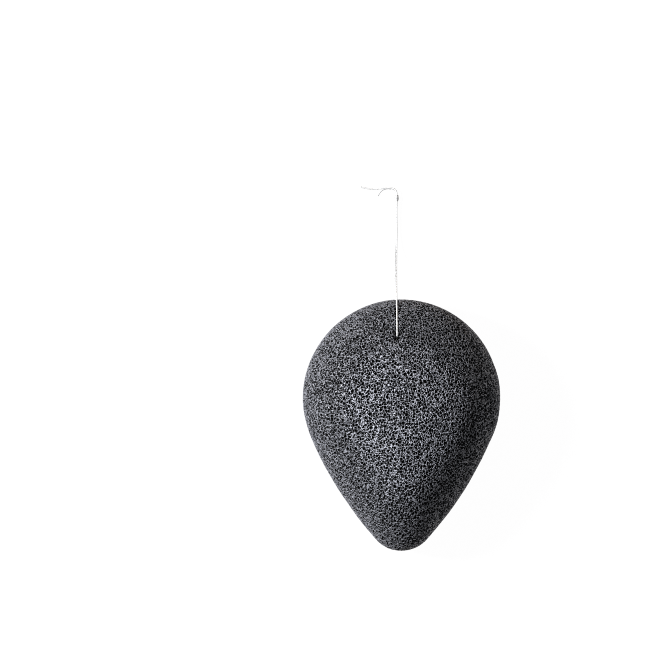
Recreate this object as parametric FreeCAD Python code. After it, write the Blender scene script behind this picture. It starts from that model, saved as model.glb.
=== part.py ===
import FreeCAD, Part
import math
import os
from FreeCAD import Vector

# Konjac facial sponge: a drop-shaped block of foam on a knotted loop of thread.
# Millimetres. The sponge lies on its flat back at Z = 0 with its dome up, the round crown end
# towards +Y and the point towards -Y. The origin is the middle of the sponge's box, on the back.

# Sponge body
SPONGE_LENGTH = 83.0        # from the point to the crown
SPONGE_WIDTH = 65.0         # across the crown's circle
SPONGE_THICKNESS = 28.0     # from the back to the top of the dome
POINT_RADIUS = 11.0         # rounding of the point, seen from above
FLANK_RADIUS = 125.0        # long side arcs between the crown and the point
RIM_HEIGHT = 8.0            # height of the widest level above the back
BACK_INSET = 4.0            # how far the back's edge is drawn in from the widest level
APEX_FROM_CROWN = 38.0      # distance of the dome's top from the crown's edge
UNDERCUT_LEVELS = 3         # levels of the form below the rim
DOME_LEVELS = 6             # levels of the form from the rim to the dome's top

# Thread and the way it goes through the foam
THREAD_DIAMETER = 0.5
HOLE_X = -1.7               # the needle's hole lies a little to one side of the middle line
HOLE_FROM_CROWN = 12.0      # distance of the hole from the crown's edge
CHANNEL_CLEARANCE = 0.05    # between the thread and the foam around it
MOUTH_RADIUS = 1.5          # the dimples that the thread draws into the front and the back
MOUTH_DEPTH = 1.0
FOAM_GAP = 0.2              # between the thread and the front that it lies on
FLOOR_GAP = 0.05            # between the thread and the floor
FRONT_BEND_RADIUS = 0.8     # where the thread comes out and lies down on the front
BACK_BEND_RADIUS = 0.6      # where the thread comes out and lies down on the back
STITCH_POINTS = 3           # places where the front stitch touches the dome
SHOULDER_FROM_CROWN = 3.8   # distance from the crown's edge where the thread leaves the dome

# Hanging loop
PIVOT_FROM_CROWN = 1.6      # the loop swings about an upright line this far outside the crown
PIVOT_CLEARANCE = 0.05      # between the fixed and the swinging ends of a strand
SHOULDER_DROP = 5.4         # fall of the front strand from the shoulder to that line
KNOT_REACH = 31.7           # from that line to the near end of the knot
KNOT_SIDE = 0.25            # the knot lies this far to the right of that line
KNOT_LEAD = 1.1             # length of the strands that runs straight into the knot
KNOT_LENGTH = 2.3
KNOT_RADIUS = 0.72          # at its two fat turns
KNOT_END_RADIUS = 0.6
KNOT_WAIST_RADIUS = 0.62    # between the two turns
STRAND_PITCH = 0.56         # between the middles of two strands that lie on each other

# Share of the shorter run that a bend's arc takes up
ARC_SHARE = 0.45

# Worked out from the sizes above
CROWN_RADIUS = SPONGE_WIDTH / 2
CROWN_Y = SPONGE_LENGTH / 2
CROWN_CENTRE = Vector(0, CROWN_Y - CROWN_RADIUS, 0)
POINT_CENTRE = Vector(0, POINT_RADIUS - SPONGE_LENGTH / 2, 0)
APEX = Vector(0, CROWN_Y - APEX_FROM_CROWN, 0)
THREAD_RADIUS = THREAD_DIAMETER / 2
CHANNEL_RADIUS = THREAD_RADIUS + CHANNEL_CLEARANCE
LYING = THREAD_RADIUS + FLOOR_GAP          # height of a thread's middle on the floor
STACKED = LYING + STRAND_PITCH             # and on top of another thread
HOLE_Y = CROWN_Y - HOLE_FROM_CROWN
PIVOT_Y = CROWN_Y + PIVOT_FROM_CROWN
KNOT_Z = KNOT_RADIUS + FLOOR_GAP
KNOT_LOW = KNOT_Z - STRAND_PITCH / 2       # heights at which strands and tails meet the knot
KNOT_HIGH = KNOT_Z + STRAND_PITCH / 2

UP = Vector(0, 0, 1)
OUTWARD = Vector(0, 1, 0)


def mirrored(point):
    return Vector(-point.x, point.y, point.z)


def arc_middle(centre, start, end):
    """The point halfway along the short arc from start to end about a centre."""
    outward = (start - centre) + (end - centre)
    return centre + outward.normalize() * (start - centre).Length


def flank_centre():
    """Centre of the right flank's arc, which holds the crown's and the point's circles inside it."""
    to_crown = FLANK_RADIUS - CROWN_RADIUS
    to_point = FLANK_RADIUS - POINT_RADIUS
    span = CROWN_CENTRE.y - POINT_CENTRE.y
    above_crown = (to_point ** 2 - to_crown ** 2 - span ** 2) / (2 * span)
    sideways = math.sqrt(to_crown ** 2 - above_crown ** 2)
    return Vector(-sideways, CROWN_CENTRE.y + above_crown, 0)


def drop_arcs():
    """The widest level as arcs of start, middle and end: crown, flank, point, flank, crown."""
    flank = flank_centre()
    top = Vector(0, CROWN_Y, 0)
    tip = Vector(0, -SPONGE_LENGTH / 2, 0)
    crown_end = flank + (CROWN_CENTRE - flank).normalize() * FLANK_RADIUS
    flank_end = flank + (POINT_CENTRE - flank).normalize() * FLANK_RADIUS
    crown_middle = arc_middle(CROWN_CENTRE, top, crown_end)
    flank_middle = arc_middle(flank, crown_end, flank_end)
    return [
        (top, crown_middle, crown_end),
        (crown_end, flank_middle, flank_end),
        (flank_end, tip, mirrored(flank_end)),
        (mirrored(flank_end), mirrored(flank_middle), mirrored(crown_end)),
        (mirrored(crown_end), mirrored(crown_middle), top),
    ]


def drop_level(share, height):
    """One level of the form: the widest outline drawn in towards the dome's top."""
    def placed(point):
        drawn_in = APEX + (point - APEX) * share
        return Vector(drawn_in.x, drawn_in.y, height)

    arcs = [Part.Arc(*[placed(point) for point in arc]) for arc in drop_arcs()]
    return Part.Wire([arc.toShape() for arc in arcs])


def drop_form():
    """The foam's outer form: an edge that rounds outwards from the back to the rim, then an elliptical dome."""
    back_share = 1 - BACK_INSET / CROWN_RADIUS
    dome_height = SPONGE_THICKNESS - RIM_HEIGHT
    levels = []
    for step in range(UNDERCUT_LEVELS):
        turn = math.pi / 2 * step / UNDERCUT_LEVELS
        share = back_share + (1 - back_share) * math.sin(turn)
        levels.append(drop_level(share, RIM_HEIGHT * (1 - math.cos(turn))))
    for step in range(DOME_LEVELS):
        turn = math.pi / 2 * step / DOME_LEVELS
        levels.append(drop_level(math.cos(turn), RIM_HEIGHT + dome_height * math.sin(turn)))
    top = Part.Vertex(APEX.x, APEX.y, SPONGE_THICKNESS)
    return Part.makeLoft(levels + [top], True, False)


def front_height(form, y):
    """Height of the front above the floor on the thread's line."""
    upright = Part.makeLine(Vector(HOLE_X, y, 0), Vector(HOLE_X, y, 2 * SPONGE_THICKNESS))
    return form.common(upright).BoundBox.ZMax


def front_slope(form, y):
    """Rise of the front towards the crown, for each millimetre along the thread's line."""
    rise = front_height(form, y + THREAD_RADIUS) - front_height(form, y - THREAD_RADIUS)
    return rise / THREAD_DIAMETER


def point_on_front(form, y):
    """Middle of a thread that lies on the front beside this place."""
    normal = Vector(0, -front_slope(form, y), 1).normalize()
    return Vector(HOLE_X, y, front_height(form, y)) + normal * (THREAD_RADIUS + FOAM_GAP)


def thread_channel(form):
    """All that the thread takes out of the foam: channel, two dimples and the groove in the back."""
    back_mouth = Vector(HOLE_X, HOLE_Y, 0)
    front_mouth = Vector(HOLE_X, HOLE_Y, front_height(form, HOLE_Y))
    past_front = SPONGE_THICKNESS + MOUTH_DEPTH
    channel = Part.makeCylinder(CHANNEL_RADIUS, past_front, back_mouth - UP * MOUTH_DEPTH)
    flare = (MOUTH_RADIUS - CHANNEL_RADIUS) / MOUTH_DEPTH
    wide_radius = MOUTH_RADIUS + flare * MOUTH_RADIUS
    wide_length = MOUTH_DEPTH + MOUTH_RADIUS
    front_dimple = Part.makeCone(CHANNEL_RADIUS, wide_radius, wide_length, front_mouth - UP * MOUTH_DEPTH)
    back_dimple = Part.makeCone(CHANNEL_RADIUS, wide_radius, wide_length, back_mouth + UP * MOUTH_DEPTH, -UP)
    return channel.multiFuse([front_dimple, back_dimple, back_groove()])


def back_groove():
    """The groove that the thread presses into the back: upright sides and a round top."""
    left = Vector(HOLE_X - CHANNEL_RADIUS, HOLE_Y, LYING)
    right = Vector(HOLE_X + CHANNEL_RADIUS, HOLE_Y, LYING)
    crest = Vector(HOLE_X, HOLE_Y, LYING + CHANNEL_RADIUS)
    down = UP * (LYING + MOUTH_DEPTH)
    edges = [
        Part.Arc(left, crest, right).toShape(),
        Part.LineSegment(right, right - down).toShape(),
        Part.LineSegment(right - down, left - down).toShape(),
        Part.LineSegment(left - down, left).toShape(),
    ]
    return Part.Face(Part.Wire(edges)).extrude(OUTWARD * (HOLE_FROM_CROWN + PIVOT_FROM_CROWN))


def route_path(points):
    """Straight runs joined by tangent arcs, and the arcs' radii."""
    edges = []
    radii = []
    start = points[0]
    for before, corner, after in zip(points, points[1:], points[2:]):
        back = before - corner
        ahead = after - corner
        reach = ARC_SHARE * min(back.Length, ahead.Length)
        half_turn = (math.pi - back.getAngle(ahead)) / 2
        radius = reach / math.tan(half_turn)
        back.normalize()
        ahead.normalize()
        inward = (back + ahead).normalize()
        arc_start = corner + back * reach
        arc_middle_point = corner + inward * (radius / math.cos(half_turn) - radius)
        arc_end = corner + ahead * reach
        edges.append(Part.LineSegment(start, arc_start).toShape())
        edges.append(Part.Arc(arc_start, arc_middle_point, arc_end).toShape())
        radii.append(radius)
        start = arc_end
    edges.append(Part.LineSegment(start, points[-1]).toShape())
    return Part.Wire(edges), radii


def thread(name, points):
    """A stretch of thread along a route, with its length, bends and volume printed."""
    path, radii = route_path(points)
    ring = Part.Wire([Part.makeCircle(THREAD_RADIUS, points[0], points[1] - points[0])])
    solid = path.makePipeShell([ring], True, False)
    expected = math.pi * THREAD_RADIUS ** 2 * path.Length
    bends = " ".join(f"{radius:.1f}" for radius in radii) or "none"
    print(f"{name}: length {path.Length:.2f}, bend radii {bends}, "
          f"volume {solid.Volume / expected:.4f} of section times length")
    return solid


def fixed_stitch(name, points):
    """A stretch that ends just short of the line that the loop swings about."""
    last_run = (points[-1] - points[-2]).normalize()
    gap = THREAD_RADIUS + PIVOT_CLEARANCE
    return thread(name, points[:-1] + [points[-1] - last_run * gap])


def swinging_strand(name, points):
    """A free strand with a round end on the line that the loop swings about."""
    solid = thread(name, points)
    round_end = Part.makeSphere(THREAD_RADIUS, points[0], points[0] - points[1], 0, 90, 360)
    return solid.fuse(round_end).removeSplitter()


def back_route():
    """Down out of the channel and along the back to the line that the loop swings about."""
    run = BACK_BEND_RADIUS / ARC_SHARE
    return [
        Vector(HOLE_X, HOLE_Y, LYING + run),
        Vector(HOLE_X, HOLE_Y, LYING),
        Vector(HOLE_X, PIVOT_Y, LYING),
    ]


def front_route(form):
    """Up out of the mouth, over the front and off the shoulder to the same line."""
    fall_angle = math.atan(-front_slope(form, HOLE_Y))
    turn = (math.pi / 2 + fall_angle) / 2
    run = FRONT_BEND_RADIUS * math.tan(turn / 2) / ARC_SHARE
    landing_y = HOLE_Y + run * math.sin(turn)
    landing = point_on_front(form, landing_y)
    corner = Vector(HOLE_X, HOLE_Y, landing.z - run * math.cos(turn))
    shoulder_y = CROWN_Y - SHOULDER_FROM_CROWN
    spacing = (shoulder_y - landing_y) / STITCH_POINTS
    on_dome = [point_on_front(form, landing_y + spacing * (step + 1)) for step in range(STITCH_POINTS)]
    pivot = Vector(HOLE_X, PIVOT_Y, on_dome[-1].z - SHOULDER_DROP)
    return [corner - UP * run, corner, landing, *on_dome, pivot]


def from_pivot(offsets):
    """Points given as sideways, outward and up from the foot of the line that the loop swings about."""
    return [Vector(HOLE_X + x, PIVOT_Y + y, z) for x, y, z in offsets]


def from_knot(offsets):
    """Points given as sideways, outward and up from the foot of the knot's far end."""
    return from_pivot([(KNOT_SIDE + x, KNOT_REACH + KNOT_LENGTH + y, z) for x, y, z in offsets])


def front_strand_route(pivot_height):
    """Sagging from the shoulder until it lies on the back strand, then along it to the knot."""
    def falling(share):
        return STACKED + share * (pivot_height - STACKED)

    return from_pivot([
        (0.0, 0.0, pivot_height),
        (0.02, 3.2, falling(0.70)),
        (0.06, 7.2, falling(0.39)),
        (0.12, 11.8, falling(0.16)),
        (0.18, 16.6, falling(0.04)),
        (0.26, 21.4, STACKED),
        (0.22, 25.6, STACKED),
        (0.20, 28.6, STACKED),
        (KNOT_SIDE, KNOT_REACH - KNOT_LEAD, KNOT_HIGH),
        (KNOT_SIDE, KNOT_REACH, KNOT_HIGH),
    ])


def back_strand_route():
    """Along the floor to the knot, a little to the left at first."""
    return from_pivot([
        (0.0, 0.0, LYING),
        (-0.22, 4.5, LYING),
        (-0.36, 10.3, LYING),
        (-0.25, 16.2, LYING),
        (0.10, 21.2, LYING),
        (0.25, 25.6, LYING),
        (0.20, 28.6, LYING),
        (KNOT_SIDE, KNOT_REACH - KNOT_LEAD, KNOT_LOW),
        (KNOT_SIDE, KNOT_REACH, KNOT_LOW),
    ])


def long_tail_route():
    """Over the short tail, round to the left and down to the floor."""
    return from_knot([
        (0.0, 0.0, KNOT_HIGH),
        (0.0, 0.9, KNOT_HIGH),
        (-0.47, 1.72, KNOT_HIGH),
        (-1.29, 2.2, STACKED + 0.08),
        (-2.75, 2.27, STACKED + 0.03),
        (-4.5, 2.2, STACKED - 0.12),
        (-6.3, 1.98, LYING + 0.12),
        (-8.3, 1.93, LYING),
        (-10.3, 2.15, LYING),
        (-12.0, 2.6, LYING),
    ])


def short_tail_route():
    """Round to the left along the floor, with a curled end."""
    return from_knot([
        (0.0, 0.0, KNOT_LOW),
        (0.0, 0.9, KNOT_LOW),
        (-0.47, 1.72, LYING + 0.06),
        (-1.29, 2.2, LYING),
        (-2.75, 2.25, LYING),
        (-4.2, 1.95, LYING),
        (-5.2, 1.35, LYING),
        (-5.9, 0.5, LYING),
        (-6.3, -0.4, LYING),
    ])


def loop_knot():
    """The overhand knot as a bead of two fat turns, lying on the floor."""
    start = from_pivot([(KNOT_SIDE, KNOT_REACH, KNOT_Z)])[0]

    def outline(along, radius):
        return start + OUTWARD * along * KNOT_LENGTH + UP * radius

    near, first_turn, waist, second_turn, far = (
        outline(0, KNOT_END_RADIUS),
        outline(0.25, KNOT_RADIUS),
        outline(0.5, KNOT_WAIST_RADIUS),
        outline(0.75, KNOT_RADIUS),
        outline(1, KNOT_END_RADIUS),
    )
    edges = [
        Part.LineSegment(outline(0, 0), near).toShape(),
        Part.Arc(near, first_turn, waist).toShape(),
        Part.Arc(waist, second_turn, far).toShape(),
        Part.LineSegment(far, outline(1, 0)).toShape(),
        Part.LineSegment(outline(1, 0), outline(0, 0)).toShape(),
    ]
    return Part.Face(Part.Wire(edges)).revolve(start, OUTWARD, 360)


def build():
    """Every node's solid by name."""
    form = drop_form()
    front = front_route(form)
    back = back_route()
    return {
        "sponge_body": form.cut(thread_channel(form)),
        "thread_core": thread("thread_core", [back[0], front[0]]),
        "front_stitch": fixed_stitch("front_stitch", front),
        "back_stitch": fixed_stitch("back_stitch", back),
        "front_strand": swinging_strand("front_strand", front_strand_route(front[-1].z)),
        "back_strand": swinging_strand("back_strand", back_strand_route()),
        "loop_knot": loop_knot(),
        "long_tail": thread("long_tail", long_tail_route()),
        "short_tail": thread("short_tail", short_tail_route()),
    }


os.makedirs("parts", exist_ok=True)
for node, solid in build().items():
    solid.exportStep(f"parts/{node}.step")
    print(f"{node}: {len(solid.Solids)} solid, valid {solid.isValid()}, {solid.Volume:.2f} cubic mm")
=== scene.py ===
import math
import bpy
import numpy as np
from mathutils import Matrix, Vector


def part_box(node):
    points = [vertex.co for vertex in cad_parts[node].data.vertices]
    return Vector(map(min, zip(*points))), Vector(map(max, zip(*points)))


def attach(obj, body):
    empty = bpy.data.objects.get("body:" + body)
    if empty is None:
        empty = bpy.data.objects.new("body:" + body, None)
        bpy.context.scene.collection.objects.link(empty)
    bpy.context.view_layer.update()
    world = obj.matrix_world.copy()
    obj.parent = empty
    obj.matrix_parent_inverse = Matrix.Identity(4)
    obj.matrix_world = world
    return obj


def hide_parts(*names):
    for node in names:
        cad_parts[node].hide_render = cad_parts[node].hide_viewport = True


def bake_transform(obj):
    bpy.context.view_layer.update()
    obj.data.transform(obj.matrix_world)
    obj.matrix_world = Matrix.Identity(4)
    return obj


# Konjac facial sponge: a drop of open-celled charcoal foam on a knotted loop of white thread.
# Lengths are in millimetres here and become metres in the meshes.
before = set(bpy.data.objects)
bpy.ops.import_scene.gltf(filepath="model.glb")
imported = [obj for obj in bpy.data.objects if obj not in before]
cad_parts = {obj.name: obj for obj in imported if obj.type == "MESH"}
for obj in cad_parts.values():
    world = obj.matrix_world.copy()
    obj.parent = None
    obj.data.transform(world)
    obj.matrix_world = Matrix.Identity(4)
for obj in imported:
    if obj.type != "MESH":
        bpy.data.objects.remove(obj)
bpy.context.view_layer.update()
MM = 0.001
SEED = 20

# Camera: square on to the domed front, as in the photograph
PICTURE_WIDTH = 216.8          # width that the picture covers at the sponge's widest level
PICTURE_MIDDLE = (-25.5, 33.4)
WIDEST_LEVEL = 8.0
LENS = 200.0
SENSOR = 36.0

# Thread: the routes' control points, from the mouth of the hole to the cut ends
THREAD_DIAMETER = 0.5
FRONT_ROUTE = [
    (-1.70, 29.50, 21.01), (-1.70, 29.50, 22.00), (-1.70, 30.55, 22.52), (-1.70, 33.04, 21.08),
    (-1.70, 35.53, 19.30), (-1.70, 38.03, 16.98), (-1.70, 43.10, 11.58),
]
FRONT_STRAND = [
    (-1.68, 46.30, 8.36), (-1.64, 50.30, 5.04), (-1.58, 54.90, 2.57), (-1.52, 59.70, 1.29),
    (-1.44, 64.50, 0.86), (-1.48, 68.70, 0.86), (-1.50, 71.70, 0.86), (-1.45, 73.70, 1.05),
    (-1.45, 74.80, 1.05),
]
LONG_TAIL = [
    (-1.45, 77.10, 1.05), (-1.45, 78.00, 1.05), (-1.92, 78.82, 1.05), (-2.74, 79.30, 0.94),
    (-4.20, 79.37, 0.89), (-5.95, 79.30, 0.74), (-7.75, 79.08, 0.42), (-9.75, 79.03, 0.30),
    (-11.75, 79.25, 0.30), (-13.45, 79.70, 0.30),
]
BACK_ROUTE = [
    (-1.70, 29.50, 21.01), (-1.70, 29.50, 1.63), (-1.70, 29.50, 0.30), (-1.70, 30.83, 0.30),
    (-1.70, 38.60, 0.30), (-1.70, 43.10, 0.30),
]
BACK_STRAND = [
    (-1.92, 47.60, 0.30), (-2.06, 53.40, 0.30), (-1.95, 59.30, 0.30), (-1.60, 64.30, 0.30),
    (-1.45, 68.70, 0.30), (-1.50, 71.70, 0.30), (-1.45, 73.70, 0.49), (-1.45, 74.80, 0.49),
]
SHORT_TAIL = [
    (-1.50, 76.60, 0.49), (-1.72, 77.55, 0.49), (-2.18, 78.38, 0.36), (-3.00, 79.00, 0.30),
    (-4.30, 79.28, 0.30), (-5.65, 79.05, 0.30), (-6.65, 78.45, 0.30), (-7.35, 77.60, 0.30),
    (-7.75, 76.70, 0.30),
]
FRONT_EXIT = (-1.70, 29.50, 22.55)
PLIES = 3
PLY_PITCH = 1.7                # length of one full twist
PLY_GROOVE = 0.12              # depth of the grooves between plies, as a share of the radius
PLY_FULLNESS = 0.7             # below 1, the plies are fuller and the grooves narrower
RING_SPACING = 0.08
RING_SIDES = 24
SPLINE_STEPS = 40              # points read from the spline for each of its spans
NEARLY_ALONG = 0.9             # share of a direction above which it counts as along X

# Knot: both strands wound round themselves
KNOT_TURNS = 2.2
KNOT_THREAD_RADIUS = 0.2
KNOT_WIND_RADIUS = 0.5
KNOT_CORE = 0.35               # share of the winding's radius at which its ends lie
KNOT_TUCK = 0.12               # share of the winding in which its ends dive into the knot

# Foam: round pores scattered over the surface, with rounded struts between them
FOAM_VOXEL = 0.12
FOAM_PROUD = 0.5               # how far the struts stand out of the CAD form
PROUD_HEIGHTS = (0.3, 4.0)     # they come out of it between these heights
WARP_SPACING = 0.8             # the pores are bent a little out of round
WARP = 0.16
PORE_SIZES = [                 # spacing, least and greatest radius, depth
    (0.88, 0.4, 0.7, 0.9),
    (0.56, 0.17, 0.34, 0.55),
    (0.38, 0.1, 0.19, 0.3),
]
PORE_EDGE = 0.5                # share of a pore's radius over which its edge falls away
SHALLOWEST = 0.65              # share of the depth that the shallowest pores have
RIM_WIDTH = 0.4                # share of a pore's radius over which its rim thins towards its edge
RIM_RISE = 0.05
SWELL_SPACING = 7.0            # soft unevenness of the whole surface
SWELL_DEPTH = 0.22
THREAD_CLEARANCE = (0.35, 0.9)  # the pores begin between these distances from the hidden thread
BESIDE_THREAD = (0.22, 0.5)    # the thread lies in a narrow dent between these distances from its line
LEAVES_FOAM = (39.2, 40.0)     # the dent ends here, where the thread leaves the dome
MOUTH_REACH = (0.4, 1.5)       # the hole's mouth is painted dark, as painted shade, between these distances from its middle
PAINTED_MOUTH_SHADE = 0.3
CHUNK = 60000                  # points worked out at a time, to save memory

# Texture map of the foam: the dome unrolled round its top, and the back beside it
UNROLL = 0.8                   # how far a millimetre of depth moves a point outwards on the map
FACES_DOWN = -0.5              # upright part of the normal below which a face belongs to the back
FACES_UP = 0.5
BY_THREAD = 0.6                # what the thread hides within this distance goes with the back
MAP_GAP = 2.0
MAP_MIDDLE = 1.0               # the dome's height is read within this distance of its middle
LEAST_DISTANCE = 0.01          # keeps the middle itself from dividing by nothing

# Finish of the foam: greys by nearness to a pore's rim, with a painted highlight at the rim itself, and
# darkened by depth in a pore as painted shade
# the foam's own greys up to 0.7, then a painted highlight that brightens each pore's rim, standing in for
# glints
RIM_GREYS_AND_PAINTED_HIGHLIGHT = [(0.0, 0.037), (0.7, 0.11), (1.0, 0.64)]
# painted shade: the pores are painted darker with depth, down to near black, where shade falls in them
PAINTED_PORE_SHADE = [(0.0, 1.0), (0.06, 0.4), (0.2, 0.01)]
GREY_TINT = (0.98, 1.0, 1.07)
PAINTED_LIGHT_HEIGHTS = (22 * MM, 28 * MM)   # painted light: the foam is painted paler towards its top between these heights, and darker on its sides
PAINTED_CREST_LIGHT = (0.5, 1.1)
GRAIN_SCALE = 3500
GRAIN_DETAIL = 3
GRAIN_SPAN = (0.3, 0.7)
MOTTLE = (0.5, 1.4)
BUMP_STRENGTH = 0.5
BUMP_HEIGHT = 0.1
MATT_DEPTHS = (0, 0.15)        # the struts are smoother than what lies below these depths
FOAM_ROUGHNESS = (0.25, 0.9)
SPECULAR = 0.3

# Finish of the thread: the grooves between the plies are painted darker, as painted shade
PAINTED_GROOVE_SHADE = (0.57, 0.58, 0.59, 1)
PLY_COLOUR = (0.65, 0.66, 0.67, 1)
THREAD_ROUGHNESS = 0.6

# Floor and light
FLOOR_DROP = 0.02
FLOOR_SIZE = 4000.0
FLOOR_GREY = 0.03
FLOOR_GLOW = 0.98
FLOOR_ROUGHNESS = 0.8
FLOOR_SPECULAR = 0.1
LIGHT_FROM_BELOW = (0.9, 0.85, 0.8)   # as off a white floor
LIGHT_FROM_ABOVE = (0.2, 0.2, 0.2)
HORIZON = (-0.1, 0.1)          # one gives way to the other as a direction rises across these
LIGHT_AIM = (0, 0, 10)
LIGHT_DISTANCE = 900
LIGHTS = [                     # name, azimuth, elevation, size, watts, colour
    ("key", 168, 31, 140, 16.5, (1, 1, 1)),
    ("fill", -5, 8, 300, 1.2, (1, 1, 1)),
    ("warm_edge", 95, 10, 300, 2.0, (1, 0.82, 0.66)),
]
PIXEL_FILTER = 1.0


def smooth(low, high, values):
    """0 below low, 1 above high and an S-curve between them."""
    share = np.clip((values - low) / (high - low), 0, 1)
    return share * share * (3 - 2 * share)


def add_object(name, data):
    made = bpy.data.objects.new(name, data)
    bpy.context.scene.collection.objects.link(made)
    return made


# Camera
def make_camera():
    data = bpy.data.cameras.new("camera")
    data.lens = LENS
    data.sensor_width = SENSOR
    camera = add_object("camera", data)
    height = WIDEST_LEVEL + PICTURE_WIDTH * LENS / SENSOR
    camera.location = (PICTURE_MIDDLE[0] * MM, PICTURE_MIDDLE[1] * MM, height * MM)
    bpy.context.scene.camera = camera


# Thread
def spline_line(route):
    """Evenly spaced points, in millimetres, along the smooth line that a route's points control."""
    data = bpy.data.curves.new("route", "CURVE")
    data.dimensions = "3D"
    data.resolution_u = SPLINE_STEPS
    spline = data.splines.new("NURBS")
    spline.points.add(len(route) - 1)
    for point, place in zip(spline.points, route):
        point.co = (*place, 1)
    spline.order_u = 3
    spline.use_endpoint_u = True
    carrier = add_object("route", data)
    bpy.context.view_layer.update()
    evaluated = carrier.evaluated_get(bpy.context.evaluated_depsgraph_get())
    mesh = bpy.data.meshes.new_from_object(evaluated)
    read = np.array([vertex.co for vertex in mesh.vertices])
    bpy.data.meshes.remove(mesh)
    bpy.data.objects.remove(carrier)
    along = np.concatenate([[0], np.cumsum(np.linalg.norm(np.diff(read, axis=0), axis=1))])
    rings = max(2, round(along[-1] / RING_SPACING) + 1)
    even = np.linspace(0, along[-1], rings)
    return np.stack([np.interp(even, along, read[:, axis]) for axis in range(3)], axis=1)


def cross_directions(line):
    """Two directions square to the line at each point, carried along it without twisting."""
    ahead = np.gradient(line, axis=0)
    ahead /= np.linalg.norm(ahead, axis=1)[:, None]
    side = np.cross(ahead[0], (1, 0, 0) if abs(ahead[0][0]) < NEARLY_ALONG else (0, 1, 0))
    sides = []
    for direction in ahead:
        side = side - direction * (side @ direction)
        side = side / np.linalg.norm(side)
        sides.append(side)
    sides = np.array(sides)
    return sides, np.cross(ahead, sides)


def twisted_tube(line, radius, pitch):
    """Points, faces and groove values of a closed tube of twisted plies round a line."""
    side, other = cross_directions(line)
    along = np.concatenate([[0], np.cumsum(np.linalg.norm(np.diff(line, axis=0), axis=1))])
    around = np.arange(RING_SIDES) * 2 * math.pi / RING_SIDES
    lobes = 1 - PLY_GROOVE * (1 - np.abs(np.cos(around * PLIES / 2)) ** PLY_FULLNESS)
    turned = around[None, :] + 2 * math.pi * along[:, None] / pitch
    rings = (
        line[:, None, :]
        + (radius * lobes * np.cos(turned))[:, :, None] * side[:, None, :]
        + (radius * lobes * np.sin(turned))[:, :, None] * other[:, None, :]
    )
    points = np.concatenate([rings.reshape(-1, 3), line[:1], line[-1:]])
    groove = np.concatenate([np.tile(lobes, len(line)), [1, 1]])
    return points, tube_faces(len(line)), groove


def tube_faces(rings):
    """Faces between the rings of a tube, and fans that close its two ends."""
    corner = np.arange(RING_SIDES)
    beside = (corner + 1) % RING_SIDES
    start = np.arange(rings - 1)[:, None] * RING_SIDES
    sides = np.stack([
        start + corner, start + beside, start + RING_SIDES + beside, start + RING_SIDES + corner,
    ], axis=-1).reshape(-1, 4)
    first, last = rings * RING_SIDES, rings * RING_SIDES + 1
    end = (rings - 1) * RING_SIDES
    caps = [(first, b, a) for a, b in zip(corner, beside)]
    caps += [(last, end + a, end + b) for a, b in zip(corner, beside)]
    return sides.tolist() + [tuple(int(index) for index in cap) for cap in caps]


def thread_object(name, tubes):
    """One object from several tubes."""
    points, faces, grooves = [], [], []
    for tube_points, corners, groove in tubes:
        before = sum(len(part) for part in points)
        points.append(tube_points)
        faces += [[before + index for index in face] for face in corners]
        grooves.append(groove)
    mesh = bpy.data.meshes.new(name)
    mesh.from_pydata((np.concatenate(points) * MM).tolist(), [], faces)
    mesh.shade_smooth()
    add_value(mesh, "groove", np.concatenate(grooves))
    mesh.materials.append(thread_material())
    return add_object(name, mesh)


def add_value(mesh, name, values):
    attribute = mesh.attributes.new(name, "FLOAT", "POINT")
    attribute.data.foreach_set("value", np.asarray(values, np.float32))


def thread_piece(name, route, nodes):
    """One end of the thread, from the hole through the knot to its cut end."""
    line = spline_line(route)
    piece = thread_object(name, [twisted_tube(line, THREAD_DIAMETER / 2, PLY_PITCH)])
    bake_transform(piece)
    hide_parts(*nodes)
    return piece


def knot_piece():
    """The windings of the knot: both strands go round the thread and tuck in at their ends."""
    low, high = (np.array(corner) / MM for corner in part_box("loop_knot"))
    middle = (low + high) / 2
    reach = (high[1] - low[1]) / 2 - KNOT_THREAD_RADIUS
    share = np.linspace(0, 1, round(KNOT_TURNS * 2 * math.pi * KNOT_WIND_RADIUS / RING_SPACING))
    tuck = smooth(0, KNOT_TUCK, share) * smooth(0, KNOT_TUCK, 1 - share)
    windings = []
    for strand in range(2):
        turn = 2 * math.pi * KNOT_TURNS * share + math.pi * strand
        wind = KNOT_WIND_RADIUS * (KNOT_CORE + (1 - KNOT_CORE) * tuck)
        line = np.stack([
            middle[0] + wind * np.cos(turn),
            middle[1] + reach * (2 * share - 1),
            middle[2] + wind * np.sin(turn),
        ], axis=1)
        windings.append(twisted_tube(line, KNOT_THREAD_RADIUS, PLY_PITCH))
    knot = thread_object("overhand_knot", windings)
    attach(knot, "hanging_loop")
    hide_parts("loop_knot")
    return knot


def make_threads():
    knot = knot_piece()
    thread_piece(
        "front_thread", FRONT_ROUTE + FRONT_STRAND + LONG_TAIL,
        ["front_stitch", "front_strand", "long_tail"],
    )
    thread_piece(
        "back_thread", BACK_ROUTE + BACK_STRAND + SHORT_TAIL,
        ["thread_core", "back_stitch", "back_strand", "short_tail"],
    )


# Foam
def fine_form():
    """The CAD sponge as an even, fine mesh of points and faces, in millimetres."""
    carrier = add_object("form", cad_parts["sponge_body"].data.copy())
    even = carrier.modifiers.new("even", "REMESH")
    even.mode = "VOXEL"
    even.voxel_size = FOAM_VOXEL * MM
    bpy.context.view_layer.update()
    evaluated = carrier.evaluated_get(bpy.context.evaluated_depsgraph_get())
    mesh = bpy.data.meshes.new_from_object(evaluated)
    bpy.data.objects.remove(carrier)
    mesh.name = "foam_sponge"
    mesh.materials.clear()
    return mesh


def read_points(mesh):
    points = np.zeros(len(mesh.vertices) * 3, np.float32)
    mesh.vertices.foreach_get("co", points)
    return points.reshape(-1, 3).astype(float) / MM


def read_normals(mesh):
    normals = np.zeros(len(mesh.vertices) * 3, np.float32)
    mesh.vertex_normals.foreach_get("vector", normals)
    return normals.reshape(-1, 3).astype(float)


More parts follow.
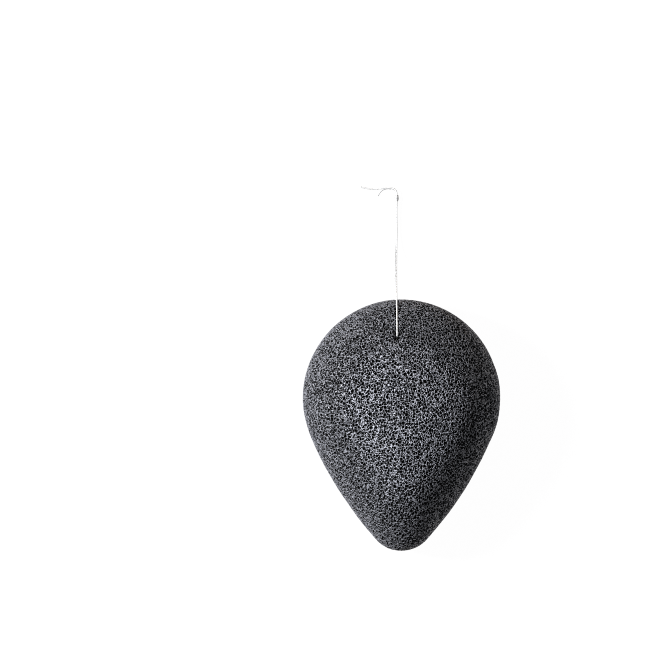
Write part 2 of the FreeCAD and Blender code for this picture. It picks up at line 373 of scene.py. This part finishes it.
class Pores:
    """Round pores scattered over a surface, about one in each box of a grid that the surface cuts."""

    def __init__(self, points, normals, spacing, radius, random):
        self.points = points
        self.spacing = spacing
        self.origin = points.min(0) - 2 * spacing
        self.size = np.ceil((points.max(0) + 2 * spacing - self.origin) / spacing).astype(int) + 1
        boxes = self.box_number(self.box_of(points))
        shuffled = random.permutation(len(points))
        _, first = np.unique(boxes[shuffled], return_index=True)
        chosen = shuffled[first]
        crowding = np.abs(normals[chosen]).sum(1)      # a slanted surface cuts more boxes
        chosen = chosen[random.random(len(chosen)) * crowding < 1]
        self.centres = points[chosen]
        self.radii = random.uniform(*radius, len(chosen))
        self.numbers = random.random(len(chosen))
        self.pore_in_box = np.full(np.prod(self.size), -1)
        self.pore_in_box[boxes[chosen]] = np.arange(len(chosen))

    def box_of(self, points):
        return np.floor((points - self.origin) / self.spacing).astype(int)

    def box_number(self, box):
        return (box[..., 0] * self.size[1] + box[..., 1]) * self.size[2] + box[..., 2]

    def inside(self):
        """How far each point lies inside its pore, off the wall to the next one, and the pore's number."""
        steps = np.array(list(np.ndindex(3, 3, 3))) - 1
        depths, numbers = [], []
        for start in range(0, len(self.points), CHUNK):
            part = self.points[start:start + CHUNK]
            around = self.box_of(part)[:, None, :] + steps[None, :, :]
            pore = self.pore_in_box[self.box_number(around)]
            away = np.sqrt(((self.centres[pore] - part[:, None, :]) ** 2).sum(-1))
            depth = np.where(pore < 0, -self.spacing, self.radii[pore] - away)
            most = depth.argmax(1)[:, None]
            numbers.append(self.numbers[np.take_along_axis(pore, most, axis=1)[:, 0]])
            second, first = np.partition(depth, -2, axis=1)[:, -2:].T
            depths.append(np.minimum(first, (first - second) / 2))
        return np.concatenate(depths), np.concatenate(numbers)


def soft_noise(points, spacing, random):
    """Smooth random values from -1 to 1 that change over the given spacing."""
    origin = points.min(0) - spacing
    size = np.ceil((points.max(0) - origin) / spacing).astype(int) + 2
    table = random.random(size) * 2 - 1
    place = (points - origin) / spacing
    box = np.floor(place).astype(int)
    share = smooth(0, 1, place - box)
    total = np.zeros(len(points))
    for corner in np.ndindex(2, 2, 2):
        weight = np.prod(np.where(corner, share, 1 - share), axis=1)
        index = box + np.array(corner)
        total += weight * table[index[:, 0], index[:, 1], index[:, 2]]
    return total


def away_from_channel(points):
    """Distance from the middle line of the thread's upright channel."""
    hole_x, hole_y = FRONT_EXIT[:2]
    return np.hypot(points[:, 0] - hole_x, points[:, 1] - hole_y)


def away_from_thread(points):
    """Distance from the thread's upright channel and from its groove along the back."""
    hole_x, hole_y = FRONT_EXIT[:2]
    beyond_hole = np.maximum(hole_y - points[:, 1], 0)
    groove = np.sqrt((points[:, 0] - hole_x) ** 2 + beyond_hole ** 2 + points[:, 2] ** 2)
    return np.minimum(away_from_channel(points), groove)


def pore_relief(points, normals, random):
    """Depth of the pores below the skin, and from 0 to 1 how near each point is to a pore's thin rim."""
    bend = [soft_noise(points, WARP_SPACING, random) for axis in range(3)]
    bent = points + WARP * np.stack(bend, axis=1)
    deepest = np.zeros(len(points))
    rim = np.zeros(len(points))
    for spacing, least, greatest, depth in PORE_SIZES:
        inside, number = Pores(bent, normals, spacing, (least, greatest), random).inside()
        floor = depth * (SHALLOWEST + (1 - SHALLOWEST) * number)
        deepest = np.maximum(deepest, floor * smooth(0, PORE_EDGE * greatest, inside))
        rim = np.maximum(rim, smooth(-RIM_WIDTH * greatest, 0, inside))
    clear = smooth(*THREAD_CLEARANCE, away_from_thread(points))
    return deepest * clear, rim * clear


def proud_of_form(points):
    """How far the struts' tops stand out of the CAD form: not on the floor, nor under the thread."""
    hole_x, hole_y = FRONT_EXIT[:2]
    beyond_hole = np.maximum(hole_y - points[:, 1], 0)
    beside_thread = smooth(*BESIDE_THREAD, np.hypot(points[:, 0] - hole_x, beyond_hole))
    no_dent = np.maximum(beside_thread, smooth(*LEAVES_FOAM, points[:, 1]))
    return FOAM_PROUD * smooth(*PROUD_HEIGHTS, points[:, 2]) * no_dent


def add_bake_map(mesh, points, normals):
    """A texture map of two islands, from the smooth form's points and normals."""
    counts = np.zeros(len(mesh.polygons), np.int32)
    starts = np.zeros(len(mesh.polygons), np.int32)
    corners = np.zeros(len(mesh.loops), np.int32)
    mesh.polygons.foreach_get("loop_total", counts)
    mesh.polygons.foreach_get("loop_start", starts)
    mesh.loops.foreach_get("vertex_index", corners)
    hidden = (normals[:, 2] < FACES_UP) & (away_from_thread(points) < BY_THREAD)
    behind = hidden | (normals[:, 2] < FACES_DOWN)
    share_behind = np.add.reduceat(behind[corners].astype(float), starts) / counts
    on_back = np.repeat(share_behind > 0.5, counts)
    flat = points[:, :2]
    out = np.linalg.norm(flat, axis=1)
    middle_height = points[out < MAP_MIDDLE, 2].max()
    depth = np.maximum(middle_height - points[:, 2], 0)
    dome = flat * (1 + UNROLL * depth / np.maximum(out, LEAST_DISTANCE))[:, None]
    beside = flat + (dome[:, 0].max() - flat[:, 0].min() + MAP_GAP, 0)
    place = np.where(on_back[:, None], beside[corners], dome[corners])
    place -= place.min(0)
    place /= place.max()
    layer = mesh.uv_layers.new(name="OFBake")
    layer.data.foreach_set("uv", place.astype(np.float32).ravel())


def make_foam():
    mesh = fine_form()
    points = read_points(mesh)
    normals = read_normals(mesh)
    random = np.random.default_rng(SEED)
    depth, rim = pore_relief(points, normals, random)
    swell = SWELL_DEPTH * 0.5 * (1 + soft_noise(points, SWELL_SPACING, random))
    inward = depth + swell - RIM_RISE * rim - proud_of_form(points)
    sunk = (points - normals * inward[:, None]) * MM
    mesh.vertices.foreach_set("co", sunk.astype(np.float32).ravel())
    # painted shade: the hole's mouth is darkened through the pore value, as if shade fell into it
    mouth = PAINTED_MOUTH_SHADE * (1 - smooth(*MOUTH_REACH, away_from_channel(points)))
    add_value(mesh, "pore", np.maximum(depth, mouth))
    add_value(mesh, "rim", rim)
    add_bake_map(mesh, points, normals)
    mesh.shade_smooth()
    mesh.update()
    sponge = add_object("foam_sponge", mesh)
    mesh.materials.append(foam_material())
    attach(sponge, "sponge")
    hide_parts("sponge_body")


# Materials
def new_material(name):
    made = bpy.data.materials.new(name)
    made.use_nodes = True
    nodes = made.node_tree.nodes
    return made, nodes, made.node_tree.links, nodes["Principled BSDF"]


def foam_material():
    made, nodes, links, shader = new_material("charcoal_foam")
    rim = attribute_node(nodes, "rim")
    pore = attribute_node(nodes, "pore")
    place = nodes.new("ShaderNodeTexCoord")
    height = nodes.new("ShaderNodeSeparateXYZ")
    links.new(place.outputs["Object"], height.inputs["Vector"])
    grain = nodes.new("ShaderNodeTexNoise")
    grain.inputs["Scale"].default_value = GRAIN_SCALE
    grain.inputs["Detail"].default_value = GRAIN_DETAIL
    links.new(place.outputs["Object"], grain.inputs["Vector"])
    # the foam's own greys, with a painted highlight on the pores' rims
    skin = grey_ramp(nodes, links, rim.outputs["Fac"], RIM_GREYS_AND_PAINTED_HIGHLIGHT)
    # painted shade in the pores and at the hole's mouth
    painted_pore_shade = grey_ramp(nodes, links, pore.outputs["Fac"], PAINTED_PORE_SHADE)
    # painted light: the crest is painted lighter and the sides darker
    painted_crest_light = map_range(nodes, links, height.outputs["Z"], PAINTED_LIGHT_HEIGHTS, PAINTED_CREST_LIGHT, "SMOOTHSTEP")
    mottle = map_range(nodes, links, grain.outputs["Fac"], GRAIN_SPAN, MOTTLE)
    uneven = scaled(nodes, links, scaled(nodes, links, skin, painted_crest_light), mottle)
    colour = nodes.new("ShaderNodeVectorMath")
    colour.operation = "MULTIPLY"
    links.new(uneven, colour.inputs[0])
    links.new(painted_pore_shade, colour.inputs[1])
    links.new(colour.outputs["Vector"], shader.inputs["Base Color"])
    bump = nodes.new("ShaderNodeBump")
    bump.inputs["Strength"].default_value = BUMP_STRENGTH
    bump.inputs["Distance"].default_value = BUMP_HEIGHT * MM
    links.new(grain.outputs["Fac"], bump.inputs["Height"])
    links.new(bump.outputs["Normal"], shader.inputs["Normal"])
    roughness = map_range(nodes, links, pore.outputs["Fac"], MATT_DEPTHS, FOAM_ROUGHNESS)
    links.new(roughness, shader.inputs["Roughness"])
    shader.inputs["Specular IOR Level"].default_value = SPECULAR
    return made


def attribute_node(nodes, name):
    node = nodes.new("ShaderNodeAttribute")
    node.attribute_name = name
    return node


def scaled(nodes, links, colour, factor):
    """The colour times a factor, both given as sockets."""
    node = nodes.new("ShaderNodeVectorMath")
    node.operation = "SCALE"
    links.new(colour, node.inputs["Vector"])
    links.new(factor, node.inputs["Scale"])
    return node.outputs["Vector"]


def map_range(nodes, links, value, span, results, change="LINEAR"):
    """A socket that goes from one result to the other as a value crosses its span."""
    node = nodes.new("ShaderNodeMapRange")
    node.interpolation_type = change
    for name, limits in (("From", span), ("To", results)):
        node.inputs[name + " Min"].default_value = limits[0]
        node.inputs[name + " Max"].default_value = limits[1]
    links.new(value, node.inputs["Value"])
    return node.outputs["Result"]


def grey_ramp(nodes, links, value, stops):
    """A socket of greys, with a touch of blue, at the given positions of a value."""
    ramp = nodes.new("ShaderNodeValToRGB")
    elements = ramp.color_ramp.elements
    for _ in range(len(stops) - 2):
        elements.new(0.5)
    for element, (position, grey) in zip(elements, stops):
        element.position = position
        element.color = (*(grey * part for part in GREY_TINT), 1)
    links.new(value, ramp.inputs["Fac"])
    return ramp.outputs["Color"]


def thread_material():
    """The material of all the thread, made once."""
    made = bpy.data.materials.get("white_thread")
    if made:
        return made
    made, nodes, links, shader = new_material("white_thread")
    groove = attribute_node(nodes, "groove")
    ramp = nodes.new("ShaderNodeValToRGB")
    low, high = ramp.color_ramp.elements
    # painted shade: the grooves between the plies are darker than the plies' tops
    low.position = 1 - PLY_GROOVE
    low.color = PAINTED_GROOVE_SHADE
    high.position = 1
    high.color = PLY_COLOUR
    links.new(groove.outputs["Fac"], ramp.inputs["Fac"])
    links.new(ramp.outputs["Color"], shader.inputs["Base Color"])
    shader.inputs["Roughness"].default_value = THREAD_ROUGHNESS
    shader.inputs["Specular IOR Level"].default_value = SPECULAR
    return made


def floor_material():
    """A floor that glows just white, so that the thread shows grey against it."""
    made, _, _, shader = new_material("pale_floor")
    shader.inputs["Base Color"].default_value = (FLOOR_GREY, FLOOR_GREY, FLOOR_GREY, 1)
    shader.inputs["Emission Color"].default_value = (1, 1, 1, 1)
    shader.inputs["Emission Strength"].default_value = FLOOR_GLOW
    shader.inputs["Roughness"].default_value = FLOOR_ROUGHNESS
    shader.inputs["Specular IOR Level"].default_value = FLOOR_SPECULAR
    return made


# Studio
def make_floor():
    mesh = bpy.data.meshes.new("floor")
    half = FLOOR_SIZE / 2 * MM
    level = -FLOOR_DROP * MM
    corners = [(-half, -half, level), (half, -half, level), (half, half, level), (-half, half, level)]
    mesh.from_pydata(corners, [], [(0, 1, 2, 3)])
    mesh.materials.append(floor_material())
    floor = add_object("floor", mesh)
    floor.visible_diffuse = False
    floor.visible_glossy = False
    floor.visible_shadow = False


def area_light(name, azimuth, elevation, size, watts, colour):
    """A square soft light that looks at the sponge; azimuth 0 is on the right and 90 beyond the crown."""
    data = bpy.data.lights.new(name, "AREA")
    data.size = size * MM
    data.energy = watts
    data.color = colour
    light = add_object(name, data)
    turn, rise = math.radians(azimuth), math.radians(elevation)
    away = Vector((math.cos(turn) * math.cos(rise), math.sin(turn) * math.cos(rise), math.sin(rise)))
    light.location = Vector(LIGHT_AIM) * MM + away * LIGHT_DISTANCE * MM
    light.rotation_euler = away.to_track_quat("Z", "Y").to_euler()


def make_sky():
    """Pale light from below, as off a white floor, and weaker light from above."""
    world = bpy.data.worlds.new("studio")
    bpy.context.scene.world = world
    world.use_nodes = True
    nodes, links = world.node_tree.nodes, world.node_tree.links
    direction = nodes.new("ShaderNodeTexCoord")
    height = nodes.new("ShaderNodeSeparateXYZ")
    links.new(direction.outputs["Generated"], height.inputs["Vector"])
    above = map_range(nodes, links, height.outputs["Z"], HORIZON, (0, 1))
    colours = nodes.new("ShaderNodeValToRGB")
    below_colour, above_colour = colours.color_ramp.elements
    below_colour.color = (*LIGHT_FROM_BELOW, 1)
    above_colour.color = (*LIGHT_FROM_ABOVE, 1)
    links.new(above, colours.inputs["Fac"])
    links.new(colours.outputs["Color"], nodes["Background"].inputs["Color"])


def make_lights():
    for light in LIGHTS:
        area_light(*light)


def keep_grain_sharp():
    """Plain colours, with the foam's grain neither smoothed nor spread over its neighbours."""
    scene = bpy.context.scene
    scene.view_settings.view_transform = "Standard"
    scene.cycles.use_denoising = False
    scene.cycles.filter_width = PIXEL_FILTER


make_camera()
make_threads()
make_foam()
make_floor()
make_sky()
make_lights()
keep_grain_sharp()
